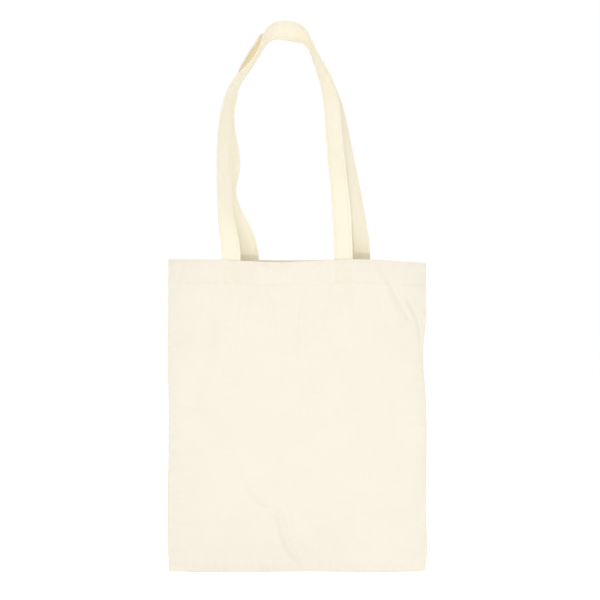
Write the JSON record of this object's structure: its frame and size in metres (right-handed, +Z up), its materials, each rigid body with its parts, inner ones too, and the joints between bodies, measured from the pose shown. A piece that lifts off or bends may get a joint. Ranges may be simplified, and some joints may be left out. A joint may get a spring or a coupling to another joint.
{
  "type": "canvas tote bag",
  "caption": "Flat unlined canvas tote bag with a turned hem, sewn side and bottom seams and long flat strap handles, for carrying goods on the shoulder or in the hand.",
  "frame": {"origin": "hang point: the underside of the handles' crown, over the middle of the bag", "axes": "+Z up towards the handles, -Y the front panel, +X to the right seen from the front"},
  "size_m": [0.3488, 0.0551, 0.7428],
  "materials": {
    "canvas": "unbleached plain weave",
    "strap": "folded plain weave",
    "thread": "matt sewing thread",
    "overlock_thread": "matt overlocking thread"
  },
  "bodies": {
    "back_panel": {"back_panel": "canvas", "back_hem_thread": "thread", "back_left_handle_end": "strap", "back_right_handle_end": "strap", "back_left_box_stitch": "thread", "back_right_box_stitch": "thread", "left_seam_thread": "overlock_thread", "right_seam_thread": "overlock_thread", "bottom_seam_thread": "overlock_thread", "left_overlock": "overlock_thread", "right_overlock": "overlock_thread", "bottom_overlock": "overlock_thread"},
    "front_panel": {"front_panel": "canvas", "front_hem_thread": "thread", "front_left_handle_end": "strap", "front_right_handle_end": "strap", "front_left_box_stitch": "thread", "front_right_box_stitch": "thread"},
    "front_handle": {"front_handle": "strap", "front_handle_outer_thread": "thread", "front_handle_inner_thread": "thread"},
    "back_handle": {"back_handle": "strap", "back_handle_outer_thread": "thread", "back_handle_inner_thread": "thread"}
  },
  "joints": [
    {"name": "mouth_open", "type": "hinge", "parent": "back_panel", "child": "front_panel", "pos_m": [0, 0, -0.718], "axis": [1, 0, 0], "range_deg": [0, 8]},
    {"name": "front_handle_swing", "type": "hinge", "parent": "front_panel", "child": "front_handle", "pos_m": [0, -0.015, -0.296], "axis": [1, 0, 0], "range_deg": [0, 165]},
    {"name": "back_handle_swing", "type": "hinge", "parent": "back_panel", "child": "back_handle", "pos_m": [0, 0.015, -0.296], "axis": [1, 0, 0], "range_deg": [-165, 0]}
  ]
}
